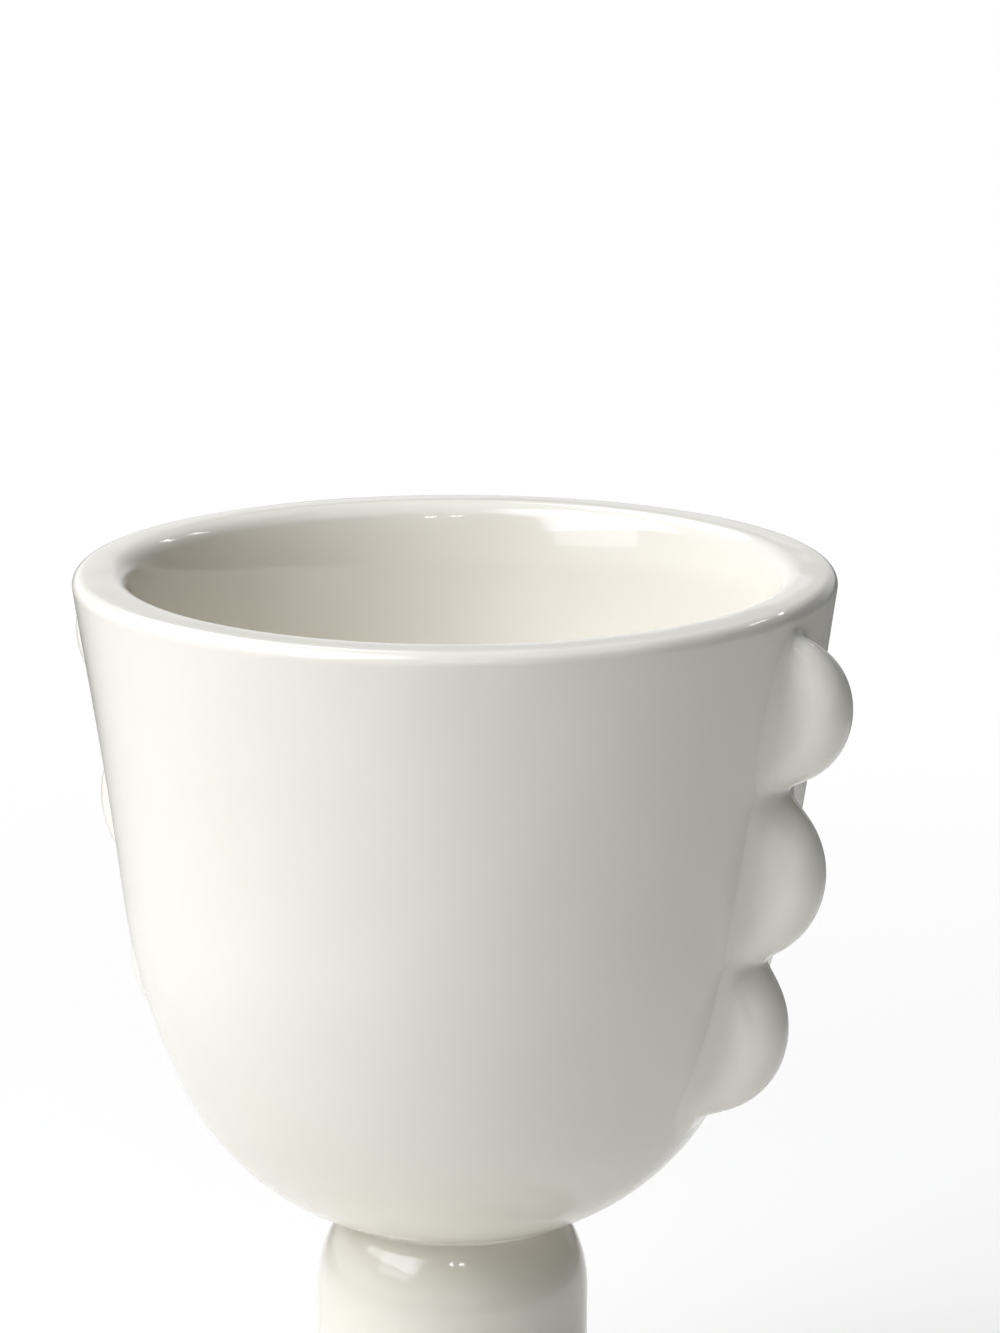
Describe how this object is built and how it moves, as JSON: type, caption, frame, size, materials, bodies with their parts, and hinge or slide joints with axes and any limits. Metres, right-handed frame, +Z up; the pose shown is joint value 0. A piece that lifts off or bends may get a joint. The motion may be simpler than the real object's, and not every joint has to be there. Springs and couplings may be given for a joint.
{
  "type": "egg cup",
  "caption": "Round-bottomed glazed ceramic egg cup on a thick stem and a round foot, with rounded lobes standing out in a row on two opposite sides.",
  "frame": {"origin": "middle of the foot's underside, on the table", "axes": "+Z up along the cup's axis, +X out through the right-hand row of lobes, +Y away from the viewer"},
  "size_m": [0.0568, 0.05, 0.072],
  "materials": {
    "glaze": "gloss"
  },
  "bodies": {
    "root": {"bowl": "glaze", "stem": "glaze", "foot": "glaze", "lobe_right_top": "glaze", "lobe_right_middle": "glaze", "lobe_right_bottom": "glaze", "lobe_left_top": "glaze", "lobe_left_middle": "glaze", "lobe_left_bottom": "glaze"}
  },
  "joints": []
}
